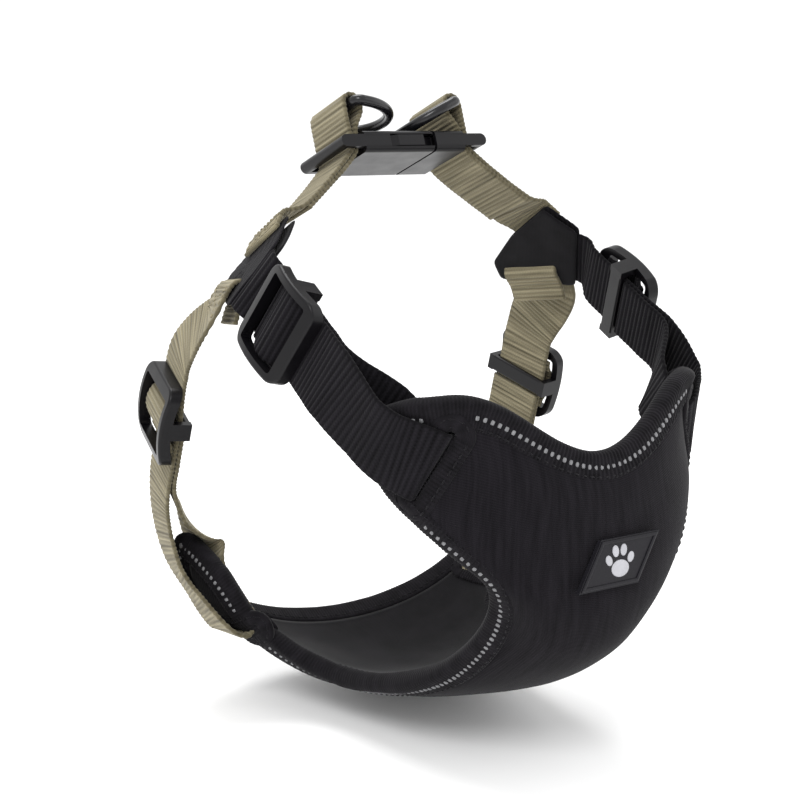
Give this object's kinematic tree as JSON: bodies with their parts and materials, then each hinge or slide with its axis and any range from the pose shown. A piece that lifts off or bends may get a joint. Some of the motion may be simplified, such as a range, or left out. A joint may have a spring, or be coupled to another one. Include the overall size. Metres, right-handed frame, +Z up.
{
  "type": "no pull dog harness",
  "caption": "Padded chest-plate dog harness with webbing girth and shoulder straps, slide adjusters, a side-release back buckle and D-rings for the leash.",
  "frame": {"origin": "middle of the girth loop, on the dog's centre line, where the rib cage sits", "axes": "+Z up, -Y towards the dog's nose, +X towards the dog's left side"},
  "size_m": [0.1862, 0.1791, 0.2266],
  "materials": {
    "webbing_tan": "ribbed nylon webbing, khaki tan",
    "webbing_black": "ribbed nylon webbing, black",
    "shell_fabric": "black twill oxford cloth",
    "padding": "soft foam core",
    "lining": "smooth black knit lining",
    "binding": "ribbed black elastic with grey reflective dashes",
    "badge_rubber": "moulded rubber badge",
    "ring_steel": "gloss black plated steel",
    "black_plastic": "satin black acetal"
  },
  "bodies": {
    "harness": {"armhole_binding_left": "binding", "armhole_binding_right": "binding", "back_webbing_right": "webbing_tan", "badge": "badge_rubber", "buckle_socket": "black_plastic", "chest_lining": "lining", "chest_padding": "padding", "chest_panel_outer": "shell_fabric", "girth_slot_edging_left": "binding", "girth_slot_edging_right": "binding", "girth_strap_left": "webbing_tan", "girth_strap_return_left": "webbing_tan", "girth_strap_return_right": "webbing_tan", "girth_strap_right": "webbing_tan", "junction_patch_lining_left": "lining", "junction_patch_lining_right": "lining", "junction_patch_outer_left": "shell_fabric", "junction_patch_outer_right": "shell_fabric", "neck_binding": "binding", "shoulder_slot_edging_left": "binding", "shoulder_slot_edging_right": "binding", "shoulder_strap_left": "webbing_black", "shoulder_strap_return_left": "webbing_black", "shoulder_strap_return_right": "webbing_black", "shoulder_strap_right": "webbing_black", "tail_binding": "binding"},
    "plug_half": {"buckle_plug": "black_plastic", "back_webbing_left": "webbing_tan"},
    "release_arm_front": {"buckle_arm_front": "black_plastic"},
    "release_arm_rear": {"buckle_arm_rear": "black_plastic"},
    "ring_right": {"d_ring_right": "ring_steel"},
    "ring_left": {"d_ring_left": "ring_steel"},
    "shoulder_slide_right": {"shoulder_adjuster_right": "black_plastic", "shoulder_adjuster_wrap_right": "webbing_black"},
    "shoulder_slide_left": {"shoulder_adjuster_left": "black_plastic", "shoulder_adjuster_wrap_left": "webbing_black"},
    "girth_slide_right": {"girth_adjuster_right": "black_plastic", "girth_adjuster_wrap_right": "webbing_tan"},
    "girth_slide_left": {"girth_adjuster_left": "black_plastic", "girth_adjuster_wrap_left": "webbing_tan"}
  },
  "joints": [
    {"name": "buckle_pull_apart", "type": "slide", "parent": "harness", "child": "plug_half", "axis": [1, 0, 0], "range_m": [0, 0.026], "deforming": ["back_webbing_left"]},
    {"name": "release_arm_front_squeeze", "type": "hinge", "parent": "plug_half", "child": "release_arm_front", "pos_m": [0.0096, -0.00596, 0.09663], "axis": [0, -0.342, -0.9397], "range_deg": [0, 6], "stiffness_Nm_per_rad": 0.6},
    {"name": "release_arm_rear_squeeze", "type": "hinge", "parent": "plug_half", "child": "release_arm_rear", "pos_m": [0.0096, 0.01396, 0.08937], "axis": [0, 0.342, 0.9397], "range_deg": [0, 6], "stiffness_Nm_per_rad": 0.6},
    {"name": "d_ring_right_swing", "type": "hinge", "parent": "harness", "child": "ring_right", "pos_m": [-0.0223, 0.0093, 0.10756], "axis": [0, -0.9397, 0.342], "range_deg": [-12, 160]},
    {"name": "d_ring_left_swing", "type": "hinge", "parent": "plug_half", "child": "ring_left", "pos_m": [0.0223, 0.0093, 0.10756], "axis": [0, 0.9397, -0.342], "range_deg": [0, 172]},
    {"name": "shoulder_adjuster_right_slide", "type": "slide", "parent": "harness", "child": "shoulder_slide_right", "axis": [-0.025, -0.868, -0.496], "range_m": [0, 0.0155], "deforming": ["shoulder_strap_return_right"]},
    {"name": "girth_adjuster_right_slide", "type": "slide", "parent": "harness", "child": "girth_slide_right", "axis": [-0.03, 0.32, -0.9469], "range_m": [-0.004, 0.012], "deforming": ["girth_strap_return_right"]},
    {"name": "shoulder_adjuster_left_slide", "type": "slide", "parent": "harness", "child": "shoulder_slide_left", "axis": [0.025, -0.868, -0.496], "range_m": [0, 0.0155], "deforming": ["shoulder_strap_return_left"]},
    {"name": "girth_adjuster_left_slide", "type": "slide", "parent": "harness", "child": "girth_slide_left", "axis": [0.03, 0.32, -0.9469], "range_m": [-0.004, 0.012], "deforming": ["girth_strap_return_left"]}
  ]
}
